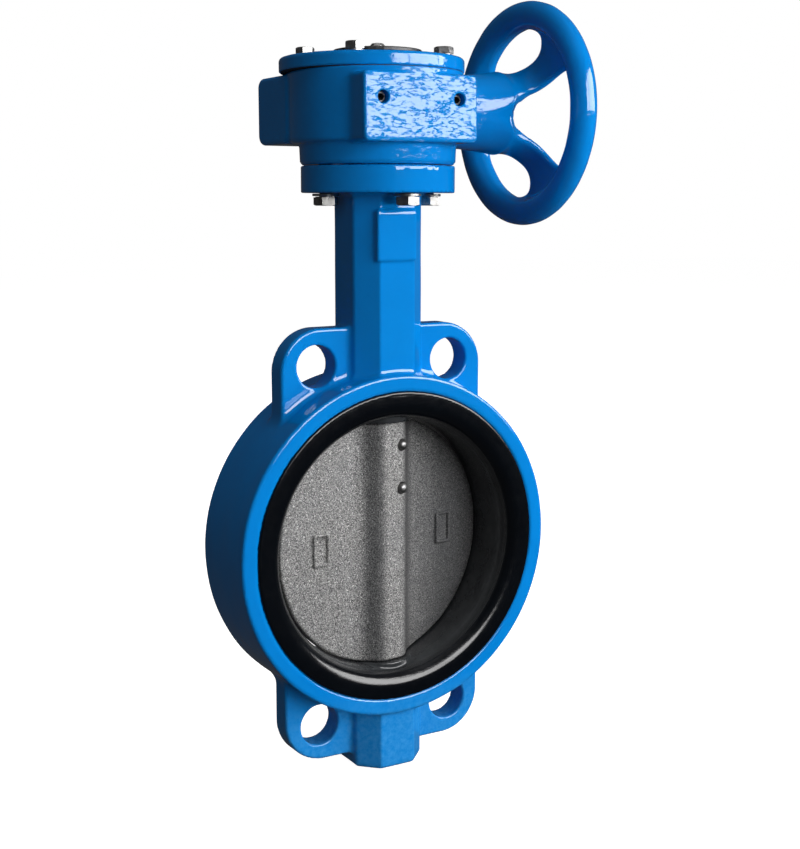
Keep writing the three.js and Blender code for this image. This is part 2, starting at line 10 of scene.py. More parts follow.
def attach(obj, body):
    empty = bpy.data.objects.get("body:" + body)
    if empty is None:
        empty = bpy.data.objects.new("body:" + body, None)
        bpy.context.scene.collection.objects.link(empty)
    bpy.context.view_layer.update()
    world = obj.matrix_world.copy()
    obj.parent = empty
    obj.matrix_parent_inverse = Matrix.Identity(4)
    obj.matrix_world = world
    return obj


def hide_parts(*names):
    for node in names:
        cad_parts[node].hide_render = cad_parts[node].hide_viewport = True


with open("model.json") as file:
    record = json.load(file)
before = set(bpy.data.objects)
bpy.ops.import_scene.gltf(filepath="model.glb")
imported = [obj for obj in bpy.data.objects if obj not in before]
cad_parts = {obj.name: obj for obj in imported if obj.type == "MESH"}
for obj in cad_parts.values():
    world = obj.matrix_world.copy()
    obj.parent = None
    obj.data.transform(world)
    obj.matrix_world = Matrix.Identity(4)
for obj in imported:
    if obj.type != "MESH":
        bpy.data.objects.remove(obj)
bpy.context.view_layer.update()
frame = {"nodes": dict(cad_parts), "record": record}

MM = 0.001
GRID_FACTOR = 1.0
OPEN_AT_REST = math.radians(9)  # how far the disc stands open
WHEEL_X, WORM_Y, WORM_Z = 135.2, 41.0, 264.5  # the rim's plane and the worm's axis
COVER_Y, COVER_R = 7.0, 55.2


# ---------------------------------------------------------------- distance fields (millimetres)
def smin(a, b, k):
    """The smaller of two distances, faired over a width k where they meet."""
    h = np.maximum(k - np.abs(a - b), 0) / k
    return np.minimum(a, b) - h * h * k * 0.25


def smax(a, b, k):
    return -smin(-a, -b, k)


def profile(u, v, points, rounding=0.0):
    """Distance to a closed polygon in the (u, v) plane, rounded outward by rounding."""
    pts = np.array(points, np.float32)
    nxt = np.roll(pts, -1, 0)
    best = np.full(u.shape, 1e9, np.float32)
    inside = np.zeros(u.shape, bool)
    for (ax, ay), (bx, by) in zip(pts, nxt):
        ex, ey = bx - ax, by - ay
        wx, wy = u - ax, v - ay
        t = np.clip((wx * ex + wy * ey) / max(ex * ex + ey * ey, 1e-9), 0, 1)
        best = np.minimum(best, (wx - t * ex) ** 2 + (wy - t * ey) ** 2)
        if abs(ey) > 1e-9:
            cross = (ay > v) != (by > v)
            inside ^= cross & (u < ex * (v - ay) / ey + ax)
    return np.where(inside, -1, 1) * np.sqrt(best) - rounding


def slab(d, w, low, high, rounding=0.0):
    """A plan distance d raised between two heights along w."""
    h = np.maximum(w - high, low - w) + rounding
    d = d + rounding
    out = np.hypot(np.maximum(d, 0), np.maximum(h, 0))
    return np.minimum(np.maximum(d, h), 0) + out - rounding


def rounded_rect(u, v, half_u, half_v, r):
    """Distance to a rectangle about the origin with rounded corners."""
    a, b = np.abs(u) - half_u + r, np.abs(v) - half_v + r
    return np.minimum(np.maximum(a, b), 0) + np.hypot(np.maximum(a, 0), np.maximum(b, 0)) - r


def octagon(u, v, half, flat):
    """Distance to a square about the origin whose corners are cut to leave flats of half-width flat."""
    a, b = np.abs(u), np.abs(v)
    return np.maximum(np.maximum(a, b) - half, (a + b - half - flat) * math.sqrt(0.5))


def disc_at(u, v, cu, cv, r):
    return np.hypot(u - cu, v - cv) - r


WAVE_COUNT = 9


def waves(x, y, z, scale, seed):
    """A smooth, repeatable unevenness between about -1 and 1."""
    rng = np.random.default_rng(seed)
    out = np.zeros(x.shape, np.float32)
    for _ in range(WAVE_COUNT):
        k = rng.normal(size=3)
        k = k / np.linalg.norm(k) * (2 * math.pi / scale) * rng.uniform(0.6, 1.5)
        out += np.sin(k[0] * x + k[1] * y + k[2] * z + rng.uniform(0, 6.28)).astype(np.float32)
    return out / 4.0


def nets(field, low, high, step):
    """Vertices and quads of the zero surface of a distance field, with the vertices drawn onto it."""
    axes = [np.arange(low[i], high[i] + step, step, dtype=np.float32) for i in range(3)]
    value = np.empty([len(a) for a in axes], np.float32)
    for i, x in enumerate(axes[0]):
        gy, gz = np.meshgrid(axes[1], axes[2], indexing="ij")
        value[i] = field(np.full(gy.shape, x, np.float32), gy, gz)
    inside = value < 0
    cells = tuple(n - 1 for n in value.shape)
    place = np.zeros(cells + (3,), np.float32)
    count = np.zeros(cells, np.float32)
    for d in range(3):
        a, b = [slice(None)] * 3, [slice(None)] * 3
        a[d], b[d] = slice(0, -1), slice(1, None)
        va, vb = value[tuple(a)], value[tuple(b)]
        cross = inside[tuple(a)] != inside[tuple(b)]
        t = np.where(cross, va / np.where(cross, va - vb, 1), 0)
        o = [i for i in range(3) if i != d]
        for i in (0, 1):
            for j in (0, 1):
                part = [slice(None)] * 3
                part[o[0]] = slice(i, value.shape[o[0]] - 1 + i)
                part[o[1]] = slice(j, value.shape[o[1]] - 1 + j)
                c = cross[tuple(part)]
                place[..., d] += np.where(c, t[tuple(part)], 0)
                place[..., o[0]] += c * i
                place[..., o[1]] += c * j
                count += c
    used = count > 0
    index = np.full(cells, -1, np.int64)
    index[used] = np.arange(used.sum())
    in_cell = place[used] / count[used][:, None]
    verts = np.array([a[0] for a in axes]) + (np.argwhere(used) + in_cell) * step
    quads = []
    for d in range(3):
        o = [i for i in range(3) if i != d]
        a, b = [slice(None)] * 3, [slice(None)] * 3
        a[d], b[d] = slice(0, -1), slice(1, None)
        for i in o:
            a[i] = b[i] = slice(1, -1)
        sa, sb = inside[tuple(a)], inside[tuple(b)]
        for flip in (False, True):
            edge = np.argwhere((~sa & sb) if flip else (sa & ~sb))
            if not len(edge):
                continue
            edge[:, o[0]] += 1
            edge[:, o[1]] += 1
            ring = []
            for i, j in ((1, 1), (0, 1), (0, 0), (1, 0)):
                c = edge.copy()
                c[:, o[0]] -= i
                c[:, o[1]] -= j
                ring.append(index[c[:, 0], c[:, 1], c[:, 2]])
            if (d == 1) != flip:
                ring.reverse()
            quads.append(np.stack(ring, 1))
    return drawn_on(field, verts.astype(np.float32), step), np.concatenate(quads)


def drawn_on(field, verts, step):
    """Moves vertices onto the zero surface, along the field's slope."""
    e = 0.25
    for _ in range(3):
        x, y, z = verts.T
        f = field(x, y, z)
        g = np.stack([
            field(x + e, y, z) - field(x - e, y, z),
            field(x, y + e, z) - field(x, y - e, z),
            field(x, y, z + e) - field(x, y, z - e),
        ], 1) / (2 * e)
        n = np.maximum((g * g).sum(1), 0.05)
        move = -(f / n)[:, None] * g
        verts = verts + np.clip(move, -0.5 * step, 0.5 * step)
    return verts


def mesh_object(name, verts, faces):
    me = bpy.data.meshes.new(name)
    me.vertices.add(len(verts))
    me.vertices.foreach_set("co", (np.asarray(verts, np.float32) * MM).ravel())
    faces = np.asarray(faces, np.int32)
    me.loops.add(faces.size)
    me.loops.foreach_set("vertex_index", faces.ravel())
    me.polygons.add(len(faces))
    me.polygons.foreach_set("loop_start", np.arange(0, faces.size, faces.shape[1], dtype=np.int32))
    me.polygons.foreach_set("use_smooth", np.full(len(faces), True))
    me.update(calc_edges=True)
    me.validate()
    ob = bpy.data.objects.new(name, me)
    bpy.context.scene.collection.objects.link(ob)
    return ob


def cast(name, field, low, high, step):
    """A casting: the zero surface of a distance field, sampled between two corners."""
    verts, faces = nets(field, low, high, step * GRID_FACTOR)
    return mesh_object(name, verts, faces)


def lathe(name, axis, points, at=(0, 0, 0), segments=128, smooth_angle=35):
    """A closed profile of (radius, height) turned about an axis; a profile may start and end on the axis."""
    bm = bmesh.new()
    rings = []
    closed = points[0][0] > 1e-6
    for r, h in points:
        if r < 1e-6:
            rings.append([bm.verts.new(_axis_point(axis, 0, 0, h, at))])
        else:
            ring = []
            for i in range(segments):
                a = 2 * math.pi * i / segments
                ring.append(bm.verts.new(_axis_point(axis, r * math.cos(a), r * math.sin(a), h, at)))
            rings.append(ring)
    pairs = list(zip(rings, rings[1:]))
    if closed:
        pairs.append((rings[-1], rings[0]))
    for lo, hi in pairs:
        for i in range(segments):
            j = (i + 1) % segments
            if len(lo) == 1 and len(hi) == 1:
                break
            if len(lo) == 1:
                bm.faces.new((lo[0], hi[j], hi[i]))
            elif len(hi) == 1:
                bm.faces.new((lo[i], lo[j], hi[0]))
            else:
                bm.faces.new((lo[i], lo[j], hi[j], hi[i]))
    bmesh.ops.recalc_face_normals(bm, faces=bm.faces)
    return finished(name, bm, smooth_angle)


def _axis_point(axis, a, b, h, at):
    x, y, z = {"x": (h, a, b), "y": (b, h, a), "z": (a, b, h)}[axis]
    return Vector(((x + at[0]) * MM, (y + at[1]) * MM, (z + at[2]) * MM))


def finished(name, bm, smooth_angle=35):
    """An object from a bmesh, smooth except at edges sharper than an angle in degrees."""
    me = bpy.data.meshes.new(name)
    for f in bm.faces:
        f.smooth = True
    for e in bm.edges:
        if len(e.link_faces) == 2 and e.calc_face_angle(0) > math.radians(smooth_angle):
            e.smooth = False
    bm.to_mesh(me)
    bm.free()
    ob = bpy.data.objects.new(name, me)
    bpy.context.scene.collection.objects.link(ob)
    return ob


def place(ob, turn_z=0.0, at=(0, 0, 0), upside_down=False):
    """Turns and moves the mesh itself, in millimetres."""
    move = Matrix.Translation(Vector(at) * MM) @ Matrix.Rotation(turn_z, 4, "Z")
    if upside_down:
        move = move @ Matrix.Rotation(math.pi, 4, "X")
    ob.data.transform(move)
    return ob


def piece(ob, body, material, slot, *nodes):
    """Finishes a visible piece: its material, the body it rides on and the nodes it stands in for."""
    ob.data.materials.clear()
    ob.data.materials.append(material)
    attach(ob, body)
    if nodes:
        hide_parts(*nodes)
    return ob


# ---------------------------------------------------------------- materials
def new_material(name):
    """A material, its node tree, its surface shader and the object's own coordinates."""
    material = bpy.data.materials.new(name)
    material.use_nodes = True
    nt = material.node_tree
    coord = nt.nodes.new("ShaderNodeTexCoord")
    return material, nt, nt.nodes["Principled BSDF"], coord.outputs["Object"]


def noise(nt, vec, scale, detail=3.0, rough=0.5, distortion=0.0):
    n = nt.nodes.new("ShaderNodeTexNoise")
    n.inputs["Scale"].default_value = scale
    n.inputs["Detail"].default_value = detail
    n.inputs["Roughness"].default_value = rough
    n.inputs["Distortion"].default_value = distortion
    nt.links.new(vec, n.inputs["Vector"])
    return n.outputs["Fac"]


def ramp(nt, fac, stops):
    """A colour ramp; a stop is a position and a grey value or a colour."""
    r = nt.nodes.new("ShaderNodeValToRGB")
    e = r.color_ramp.elements
    while len(e) < len(stops):
        e.new(0.5)
    for i, (p, c) in enumerate(stops):
        e[i].position = p
        e[i].color = (c, c, c, 1) if isinstance(c, (int, float)) else (*c, 1)
    nt.links.new(fac, r.inputs["Fac"])
    return r.outputs["Color"]


def between(nt, value, start, full, low, high):
    """low where value is at start, high where it is at full, and straight between them."""
    n = nt.nodes.new("ShaderNodeMapRange")
    for socket, v in zip(("From Min", "From Max", "To Min", "To Max"), (start, full, low, high)):
        n.inputs[socket].default_value = v
    nt.links.new(value, n.inputs["Value"])
    return n.outputs["Result"]


def separated(nt, vec):
    n = nt.nodes.new("ShaderNodeSeparateXYZ")
    nt.links.new(vec, n.inputs[0])
    return n.outputs


def math_node(nt, op, a, b=None):
    n = nt.nodes.new("ShaderNodeMath")
    n.operation = op
    for i, v in enumerate((a, b)):
        if v is None:
            continue
        if isinstance(v, (int, float)):
            n.inputs[i].default_value = v
        else:
            nt.links.new(v, n.inputs[i])
    return n.outputs[0]


def bump(nt, height, strength, distance, normal=None):
    n = nt.nodes.new("ShaderNodeBump")
    n.inputs["Strength"].default_value = strength
    n.inputs["Distance"].default_value = distance
    nt.links.new(height, n.inputs["Height"])
    if normal is not None:
        nt.links.new(normal, n.inputs["Normal"])
    return n.outputs["Normal"]


def mix_color(nt, fac, a, b):
    n = nt.nodes.new("ShaderNodeMix")
    n.data_type = "RGBA"
    for sock, v in ((n.inputs[0], fac), (n.inputs[6], a), (n.inputs[7], b)):
        if isinstance(v, tuple):
            sock.default_value = (*v, 1)
        elif isinstance(v, (int, float)):
            sock.default_value = v
        else:
            nt.links.new(v, sock)
    return n.outputs[2]


BLUE, DEEP_BLUE, DUSTY_BLUE = (0.0008, 0.198, 0.59), (0.0006, 0.175, 0.53), (0.045, 0.29, 0.64)
DUST_FROM, DUST_FULL = -0.084, -0.112  # heights in metres: the lowest part of the valve is dusty
Y_AXIS, X_AXIS = 1, 0
BLOCK_DENTS = (Y_AXIS, -0.0485, -0.05025)
HUB_DENTS = (X_AXIS, 0.09, 0.0775)
DENTS_LEFT_ELSEWHERE = 0.03


def paint_colour(nt, obj, height):
    tone = noise(nt, obj, 28, 4, 0.6)
    colour = mix_color(nt, ramp(nt, tone, [(0.3, 0.0), (0.75, 1.0)]), DEEP_BLUE, BLUE)
    low = between(nt, height, DUST_FROM, DUST_FULL, 0.0, 0.6)
    speckle = ramp(nt, noise(nt, obj, 260, 4, 0.7), [(0.35, 0.2), (0.65, 1.0)])
    return mix_color(nt, math_node(nt, "MULTIPLY", low, speckle), colour, DUSTY_BLUE)


def dented_coat(nt, obj, axes, unevenness, where):
    """Small slanting dents in the gloss coat where an axis passes from start to full, over gentle swells."""
    stretch = nt.nodes.new("ShaderNodeMapping")
    stretch.inputs["Rotation"].default_value = (0, math.radians(-28), 0)
    stretch.inputs["Scale"].default_value = (0.55, 1.0, 1.6)
    nt.links.new(obj, stretch.inputs["Vector"])
    wavy = noise(nt, stretch.outputs["Vector"], 400, 3, 0.6, 0.7)
    axis, start, full = where
    amount = between(nt, axes[axis], start, full, DENTS_LEFT_ELSEWHERE, 1.0)
    dents = math_node(nt, "MULTIPLY", ramp(nt, wavy, [(0.31, 0.0), (0.46, 1.0)]), amount)
    skin = bump(nt, dents, 1.0, 0.0009 * unevenness)
    return bump(nt, noise(nt, obj, 34, 2, 0.5), 1.0, 0.00008 + 0.00012 * unevenness, skin)


def paint_material(name, unevenness, where=BLOCK_DENTS):
    """Gloss enamel over a sand casting; unevenness says how rough the casting under it is."""
    material, nt, b, obj = new_material(name)
    axes = separated(nt, obj)
    nt.links.new(paint_colour(nt, obj, axes[2]), b.inputs["Base Color"])
    haze = noise(nt, obj, 160, 3, 0.6)
    nt.links.new(ramp(nt, haze, [(0.2, 0.18), (0.8, 0.30)]), b.inputs["Roughness"])
    b.inputs["Specular IOR Level"].default_value = 0.0
    b.inputs["Coat Weight"].default_value = 1.0
    b.inputs["Coat IOR"].default_value = 1.55
    b.inputs["Coat Roughness"].default_value = 0.03
    grain = bump(nt, noise(nt, obj, 1100, 2, 0.5), 0.15, 0.00008)
    grain = bump(nt, noise(nt, obj, 120, 3, 0.6, 0.5), 1.0, 0.00006 + 0.00016 * unevenness, grain)
    nt.links.new(grain, b.inputs["Normal"])
    nt.links.new(dented_coat(nt, obj, axes, unevenness, where), b.inputs["Coat Normal"])
    return material


def rubber_material():
    """Smooth black rubber, greyer in a band across the middle of the bore than on the lips."""
    material, nt, b, obj = new_material("liner_rubber")
    tone = noise(nt, obj, 40, 4, 0.6)
    rubber_black = ramp(nt, tone, [(0.3, (0.0004, 0.0010, 0.0022)), (0.8, (0.0008, 0.0017, 0.0032))])
    from_middle = math_node(nt, "ABSOLUTE", separated(nt, obj)[1])
    # a greyer colour within about 20 mm of the middle plane, fading out by 25 mm
    middle_band_grey = math_node(nt, "MULTIPLY", between(nt, from_middle, 0.020, 0.025, 1.0, 0.0), tone)
    nt.links.new(mix_color(nt, middle_band_grey, rubber_black, (0.050, 0.054, 0.058)), b.inputs["Base Color"])
    haze = noise(nt, obj, 220, 4, 0.6)
    nt.links.new(ramp(nt, haze, [(0.25, 0.13), (0.8, 0.22)]), b.inputs["Roughness"])
    b.inputs["Specular IOR Level"].default_value = 0.5
    grain = bump(nt, noise(nt, obj, 1800, 2, 0.5), 0.25, 0.0001)
    grain = bump(nt, noise(nt, obj, 90, 3, 0.5), 0.12, 0.0008, grain)
    nt.links.new(grain, b.inputs["Normal"])
    return material


# how strongly shade is painted into the iron's colour, against x in metres: painted shade beside the hub,
# and a painted shadow of the ring on the half beyond it
HUB_PAINTED_SHADE = (
    (-0.018, 0.08), (-0.013, 0.66), (-0.007, 0.70), (-0.002, 0.02), (0.009, 0.03),
    (0.015, 0.84), (0.0185, 0.62), (0.024, 0.45), (0.045, 0.74),
)
PAINTED_SHADE_SPAN = 0.1
PAINTED_SHADE_BLUR = 0.04
PAINTED_SHADE_COLOUR = (0.022, 0.023, 0.026)


# paints shade into the iron's colour across x, as the table above gives
def painted_shade(nt, obj, colour):
    blur = math_node(nt, "SUBTRACT", noise(nt, obj, 60, 3, 0.6), 0.5)
    across = math_node(nt, "ADD", math_node(nt, "MULTIPLY", separated(nt, obj)[0], 1 / PAINTED_SHADE_SPAN), 0.5)
    across = math_node(nt, "ADD", across, math_node(nt, "MULTIPLY", blur, PAINTED_SHADE_BLUR))
    stops = [(0.5 + x / PAINTED_SHADE_SPAN, amount) for x, amount in HUB_PAINTED_SHADE]
    return mix_color(nt, ramp(nt, across, stops), colour, PAINTED_SHADE_COLOUR)


def iron_material():
    """Bare shot-blasted ductile iron: a fine grain with bright specks and darker patches, with painted shade
    beside the hub and a painted shadow on the far half.
    """
    material, nt, b, obj = new_material("bare_iron")
    grain = noise(nt, obj, 1150, 4, 0.75)
    patch = noise(nt, obj, 30, 4, 0.6)
    light = ramp(nt, grain, [(0.41, 0.0), (0.60, 1.0)])
    colour = mix_color(nt, light, (0.035, 0.035, 0.036), (0.33, 0.328, 0.322))
    colour = mix_color(nt, ramp(nt, patch, [(0.42, 0.0), (0.8, 0.4)]), colour, (0.15, 0.153, 0.165))
    speck = ramp(nt, noise(nt, obj, 1500, 2, 0.6), [(0.61, 0.0), (0.66, 0.9)])
    colour = mix_color(nt, speck, colour, (0.78, 0.77, 0.75))
    nt.links.new(painted_shade(nt, obj, colour), b.inputs["Base Color"])
    b.inputs["Metallic"].default_value = 0.45
    nt.links.new(ramp(nt, grain, [(0.3, 0.62), (0.75, 0.40)]), b.inputs["Roughness"])
    rough = bump(nt, grain, 1.0, 0.0005)
    rough = bump(nt, noise(nt, obj, 420, 3, 0.6), 0.5, 0.0007, rough)
    nt.links.new(rough, b.inputs["Normal"])
    return material


def metal_material(name, base, dark, rough, scale=260, grain=0.15, metallic=1.0):
    """A plain surface between two colours, with a varying gloss and a fine grain."""
    material, nt, b, obj = new_material(name)
    tone = noise(nt, obj, scale, 4, 0.6)
    nt.links.new(ramp(nt, tone, [(0.3, dark), (0.7, base)]), b.inputs["Base Color"])
    b.inputs["Metallic"].default_value = metallic
    haze = noise(nt, obj, scale * 2, 3, 0.6)
    nt.links.new(ramp(nt, haze, [(0.25, rough * 0.7), (0.8, rough * 1.4)]), b.inputs["Roughness"])
    nt.links.new(bump(nt, noise(nt, obj, scale * 4, 3, 0.6), grain, 0.0002), b.inputs["Normal"])
    return material


PAINT = paint_material("paint_body", 0.0)
PAINT_ROUGH = paint_material("paint_operator", 0.8)
PAINT_WHEEL = paint_material("paint_handwheel", 0.6, HUB_DENTS)
RUBBER = rubber_material()
IRON = iron_material()
ZINC = metal_material("zinc_plate", (0.46, 0.45, 0.44), (0.26, 0.26, 0.25), 0.34)
STEEL = metal_material("machined_steel", (0.5, 0.5, 0.5), (0.32, 0.31, 0.30), 0.3)
RUSTY = metal_material("shaft_steel", (0.36, 0.28, 0.22), (0.20, 0.10, 0.05), 0.45, 300, 0.4, 0.8)
SCREW = metal_material("blackened_steel", (0.10, 0.10, 0.11), (0.05, 0.05, 0.055), 0.35)
PIN = metal_material("pin_iron", (0.30, 0.30, 0.30), (0.17, 0.17, 0.17), 0.38, 500, 0.3)
BRONZE = metal_material("bronze", (0.60, 0.40, 0.18), (0.42, 0.27, 0.11), 0.3)
BLACK = metal_material("black_plastic", (0.02, 0.02, 0.022), (0.011, 0.011, 0.012), 0.38, 300, 0.2, 0.0)
GASKET = metal_material("gasket", (0.028, 0.028, 0.03), (0.014, 0.014, 0.015), 0.6, 400, 0.4, 0.0)
BY_SLOT = {"paint": PAINT, "rubber": RUBBER, "iron": IRON, "steel": STEEL, "bronze": BRONZE, "black": BLACK}
BY_NODE = {"stop_screw_left": SCREW, "stop_screw_right": SCREW, "cover_gasket": GASKET, "input_shaft": RUSTY}


def dress_nodes():
    """Gives every node of the part its material, for those that no piece below replaces."""
    for row in frame["record"]["subparts"]:
        name = row["node"]
        materials = frame["nodes"][name].data.materials
        materials.clear()
        materials.append(BY_NODE.get(name, BY_SLOT[row["material_slot"]]))


# ---------------------------------------------------------------- valve body
RING_BED_R, RING_R, RING_HALF, RING_EDGE = 80, 103.75, 26.8, 1.2
LIP_BED_R, LIP_BED_HALF, SEAT_BED_R = 95.4, 24, 88.4
EAR_HALF_X, EAR_HALF_Z, EAR_HALF_Y, EAR_CORNER = 69, 133.3, 7.5, 26
GUIDE_CIRCLE_R, GUIDE_TURN, GUIDE_HOLE_R = 120, math.radians(22.5), 12.9
NECK_HALF, NECK_FLAT, NECK_TOP, BOSS_BOTTOM = 23.3, 11.7, 214, -141.7
STEM_BORE_R, PLUG_BORE_R = 12.45, 14.3
FLANGE_R, FLANGE_LOW, FLANGE_HIGH = 45.2, 213, 227.2
BOLT_CIRCLE_R, FLANGE_HOLE_R = 35, 4.5
PAD_X, PAD_Z, PAD_HALF_X, PAD_HALF_Z, PAD_FRONT = -0.9, 187.4, 13.3, 14.9, -25.1


def flange_bolt_place(i):
    turn = math.pi / 2 * i
    return BOLT_CIRCLE_R * math.cos(turn), BOLT_CIRCLE_R * math.sin(turn)


def body_castings(x, y, z):
    """The ring, the ears, the eight-sided neck and boss, the flange and the blank pad."""
    r = np.hypot(x, z)
    corners = [
        (RING_BED_R, -RING_HALF), (RING_R, -RING_HALF), (RING_R, RING_HALF), (RING_BED_R, RING_HALF),
    ]
    ring = profile(r, y, corners, RING_EDGE)
    ears = slab(rounded_rect(x, z, EAR_HALF_X, EAR_HALF_Z, EAR_CORNER), y, -EAR_HALF_Y, EAR_HALF_Y, 1.6)
    plan = octagon(x, y, NECK_HALF, NECK_FLAT)
    neck = slab(plan, z, 84, NECK_TOP, 1.0)
    boss = slab(plan, z, BOSS_BOTTOM, -84, 2.6)
    corners = [(0, FLANGE_LOW), (FLANGE_R, FLANGE_LOW), (FLANGE_R, FLANGE_HIGH), (0, FLANGE_HIGH)]
    flange = profile(np.hypot(x, y), z, corners, 0.8)
    pad = slab(rounded_rect(x - PAD_X, z - PAD_Z, PAD_HALF_X, PAD_HALF_Z, 1.2), y, PAD_FRONT, -20, 0.8)
    d = smin(ring, ears, 4.5)
    d = smin(d, np.minimum(neck, boss), 3.6)
    d = smin(d, flange, 4.0)
    return smin(d, pad, 1.2)


def body_field(x, y, z):
    d = body_castings(x, y, z)
    guide_x, guide_z = GUIDE_CIRCLE_R * math.sin(GUIDE_TURN), GUIDE_CIRCLE_R * math.cos(GUIDE_TURN)
    for ex in (-guide_x, guide_x):
        for ez in (-guide_z, guide_z):
            d = smax(d, -disc_at(x, z, ex, ez, GUIDE_HOLE_R), 1.0)
    bed = profile(np.hypot(x, z), y, [
        (-5, -60), (LIP_BED_R, -60), (LIP_BED_R, -LIP_BED_HALF), (SEAT_BED_R, -LIP_BED_HALF),
        (SEAT_BED_R, LIP_BED_HALF), (LIP_BED_R, LIP_BED_HALF), (LIP_BED_R, 60), (-5, 60),
    ])
    d = smax(d, -bed, 0.5)
    rs = np.hypot(x, y)
    d = smax(d, -slab(rs - STEM_BORE_R, z, 60, 240), 0.4)
    d = smax(d, -slab(rs - STEM_BORE_R, z, -131, -60), 0.4)
    d = smax(d, -slab(rs - PLUG_BORE_R, z, -160, -129.6), 0.8)
    for i in range(4):
        d = smax(d, -slab(disc_at(x, y, *flange_bolt_place(i), FLANGE_HOLE_R), z, 205, 240), 0.4)
    return d + 0.10 * waves(x, y, z, 26, 3)


def valve_body():
    ob = cast("valve_body_casting", body_field, (-107.5, -48, -144), (107.5, 48, 230), 1.4)
    piece(ob, "housing", PAINT, "paint", "valve_body")


# ---------------------------------------------------------------- seat liner
LINER_HALF, LINER_R, LINER_BACK_R, LINER_LIP_BACK = 28.7, 95.1, 88.1, 24.4
STEM_PAD_R, STEM_PAD_FLAT, LINER_HOLE_R = 19.5, 75.1, 9.66


def liner_outline():
    """Half the liner's section as (radius, distance from the middle plane)."""
    seat = [(77.62, -1), (77.62, 12), (77.9, 15.6), (78.5, 16.4), (78.1, 17.2), (79.0, 18.2)]
    roll = [(79.2, 19.6), (79.4, 21.5), (80.3, 24.2), (82.0, 26.2), (84.0, 27.6), (86.0, 28.4)]
    face = [(88.0, LINER_HALF), (93.2, LINER_HALF), (93.5, 28.4), (93.8, 28.4), (94.1, LINER_HALF)]
    rim = [(94.6, 28.6), (LINER_R, 28.0), (LINER_R, LINER_LIP_BACK)]
    back = [(LINER_BACK_R, LINER_LIP_BACK), (LINER_BACK_R, -1)]
    return seat + roll + face + rim + back


def liner_field(x, y, z):
    r = np.hypot(x, z)
    rs = np.hypot(x, y)
    stem_pad = np.maximum(rs - STEM_PAD_R, np.maximum(STEM_PAD_FLAT - np.abs(z), r - 84))
    d = smin(profile(r, np.abs(y), liner_outline()), stem_pad, 1.2)
    return smax(d, LINER_HOLE_R - rs, 0.8)


def seat_liner():
    ob = cast("seat_liner_moulding", liner_field, (-97, -30.5, -97), (97, 30.5, 97), 1.08)
    piece(ob, "housing", RUBBER, "rubber", "seat_liner")


# ---------------------------------------------------------------- disc
DISC_R, DISC_FLAT = 77.45, 74.7
PLATE_HALF, PLATE_EDGE_THINNER = 5.2, 1.2
HUB_R, HUB_HALF = 16.9, 15.6
DISC_BORE_R, UPPER_BORE_FROM, LOWER_BORE_TO = 9.58, 14, -42
PIN_X, PIN_HEIGHTS, PIN_HOLE_R = 7, {"upper": 60, "middle": 33}, 3.75
FRAME_X, FRAME_Z, FRAME_HALF_X, FRAME_HALF_Z, FRAME_LINE = 48, 0.7, 5.0, 9.2, 0.85


def disc_field(x, y, z):
    r = np.hypot(x, z)
    edge = np.hypot(r, y) - DISC_R
    plate = np.abs(y) - (PLATE_HALF - PLATE_EDGE_THINNER * np.clip(r / (DISC_R - 0.05), 0, 1))
    rs = np.hypot(x, y)
    hub = smax(rs - HUB_R, np.abs(y) - HUB_HALF, 3.0)
    d = smin(smax(plate, edge, 1.8), hub, 9.0)
    d = smax(d, edge, 1.2)
    d = smax(d, np.abs(z) - DISC_FLAT, 1.2)
    d = smax(d, -slab(rs - DISC_BORE_R, z, UPPER_BORE_FROM, 90), 0.4)
    d = smax(d, -slab(rs - DISC_BORE_R, z, -90, LOWER_BORE_TO), 0.4)
    for height in PIN_HEIGHTS.values():
        d = smax(d, -disc_at(x, z, PIN_X, height, PIN_HOLE_R), 1.0)
    for side in (-FRAME_X, FRAME_X):
        outline = rounded_rect(x - side, z - FRAME_Z, FRAME_HALF_X, FRAME_HALF_Z, 0.6)
        d = smin(d, slab(np.abs(outline) - FRAME_LINE, np.abs(y), 3.0, 6.1, 0.3), 0.6)
    return d + 0.12 * waves(x, y, z, 18, 7)


def valve_disc():
    ob = cast("disc_casting", disc_field, (-79, -18.5, -77), (79, 18.5, 77), 0.85)
    piece(place(ob, OPEN_AT_REST), "disc", IRON, "iron", "disc")


def taper_pins():
    """Each pin has a domed head in front and a flat end behind."""
    outline = [
        (0, -17.2), (1.2, -17.05), (2.2, -16.6), (2.9, -15.8), (3.2, -14.8),
        (3.15, 13.2), (2.7, 14.0), (0, 14.2),
    ]
    for label, height in PIN_HEIGHTS.items():
        pin = lathe(f"taper_pin_head_{label}", "y", outline, (PIN_X, 0, height), 40)
        piece(place(pin, OPEN_AT_REST), "disc", PIN, "steel", f"taper_pin_{label}")


# ---------------------------------------------------------------- gear operator
COVER_BOLTS = ((-29.0, -25.2), (30.3, -25.2), (-38.3, 18.7), (38.3, 18.7))
DRUM_R, DRUM_EDGE, SEAM = 51.0, 2.4, 282
BLOCK_FRONT, BLOCK_HALF_X, BLOCK_Z, BLOCK_HALF_Z, BLOCK_DRAFT = -51.85, 37.2, 259.5, 19.1, 0.026
STOP_X, STOP_HOLE_R = 25, 3.6
SECTOR_ROOM_R, SECTOR_ROOM_BACK, SECTOR_HUB_ROOM_R, ROOM_FLOOR = 35.4, -11, 21.5, 249
WORM_ROOM_HALF_X, WORM_ROOM_NEAR, WORM_ROOM_FAR = 27, 20, 55
STEM_HOLE_R, LEFT_BORE_R, RIGHT_BORE_R, END_BORE_R = 14.1, 11.2, 13.6, 16.2
COVER_LOW, COVER_TOP, COVER_EDGE, COVER_HOLE_R = 282.6, 290.7, 2.4, 3.3
DIAL_SEAT_R, DIAL_SEAT_TOP, DIAL_BORE_R = 28, 292.6, 12.2


